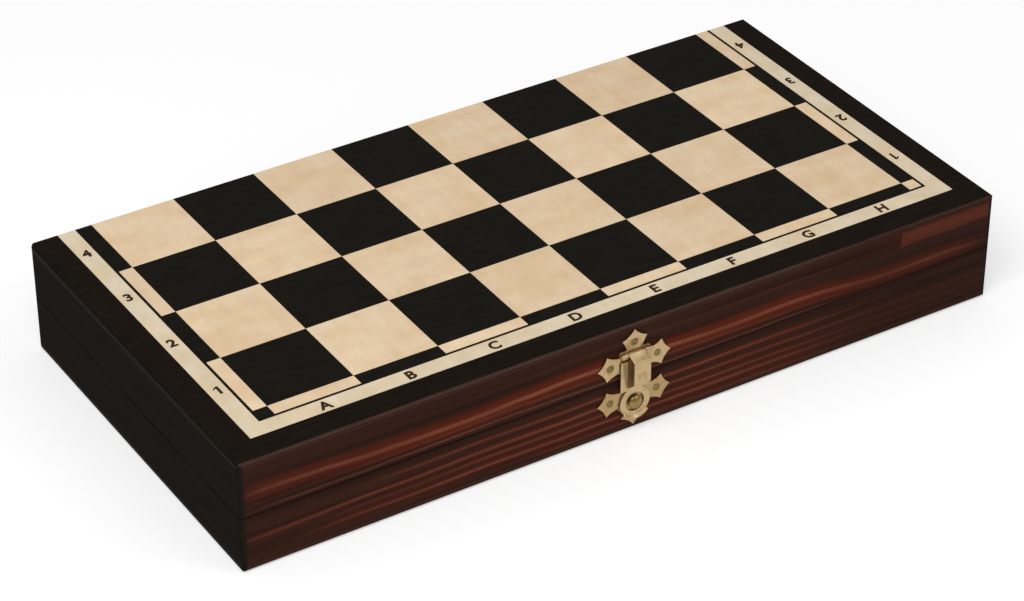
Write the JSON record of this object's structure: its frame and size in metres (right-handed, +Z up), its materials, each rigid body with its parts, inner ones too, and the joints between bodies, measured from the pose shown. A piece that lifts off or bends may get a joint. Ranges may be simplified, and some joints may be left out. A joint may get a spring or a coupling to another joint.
{
  "type": "chess box with hinged lid",
  "caption": "Flat folding chess box: two equal trays on butt hinges, half a chess board on each outer face, and a hasp latch that closes over a knob.",
  "frame": {"origin": "centre of the underside, which is the outer board face of the base tray", "axes": "+X along the length to the right as seen from the latch, -Y towards the front with the latch, +Y towards the hinges, +Z up"},
  "size_m": [0.35, 0.184, 0.05],
  "materials": {
    "streaked_wood": "satin dark red-brown stain with lighter streaks",
    "black_wood": "satin black stain",
    "plywood_core": "stained edge",
    "light_veneer": "satin pale veneer",
    "dark_veneer": "satin dark veneer",
    "line_veneer": "satin dark line",
    "strip_veneer": "satin pale veneer",
    "green_felt": "felt",
    "hinge_brass": "satin",
    "pin_brass": "satin",
    "latch_brass": "bright plated"
  },
  "bodies": {
    "base": {"base_front_rail": "streaked_wood", "base_back_rail": "streaked_wood", "base_left_rail": "black_wood", "base_right_rail": "black_wood", "base_board_panel": "plywood_core", "base_light_squares": "light_veneer", "base_dark_squares": "dark_veneer", "base_light_border_cells": "light_veneer", "base_dark_border_cells": "dark_veneer", "base_inlay_line": "line_veneer", "base_coordinate_strip": "strip_veneer", "base_outer_band": "black_wood", "base_felt": "green_felt", "hinge_left_base_leaf": "hinge_brass", "hinge_right_base_leaf": "hinge_brass", "hinge_pins": "pin_brass", "hinge_screws_base": "pin_brass", "catch_plate": "latch_brass", "catch_knob": "latch_brass", "catch_nails": "pin_brass"},
    "lid": {"lid_front_rail": "streaked_wood", "lid_back_rail": "streaked_wood", "lid_left_rail": "black_wood", "lid_right_rail": "black_wood", "lid_board_panel": "plywood_core", "lid_light_squares": "light_veneer", "lid_dark_squares": "dark_veneer", "lid_light_border_cells": "light_veneer", "lid_dark_border_cells": "dark_veneer", "lid_inlay_line": "line_veneer", "lid_coordinate_strip": "strip_veneer", "lid_outer_band": "black_wood", "lid_felt": "green_felt", "hinge_left_lid_leaf": "hinge_brass", "hinge_right_lid_leaf": "hinge_brass", "hinge_screws_lid": "pin_brass", "latch_plate": "latch_brass", "latch_nails": "pin_brass", "hasp_pin": "pin_brass"},
    "hasp": {"hasp": "latch_brass"}
  },
  "joints": [
    {"name": "lid_hinge", "type": "hinge", "parent": "base", "child": "lid", "pos_m": [0, 0.08775, 0.025], "axis": [-1, 0, 0], "range_deg": [0, 180]},
    {"name": "hasp_swing", "type": "hinge", "parent": "lid", "child": "hasp", "pos_m": [-0.002, -0.08955, 0.0373], "axis": [-1, 0, 0], "range_deg": [0, 90]}
  ]
}
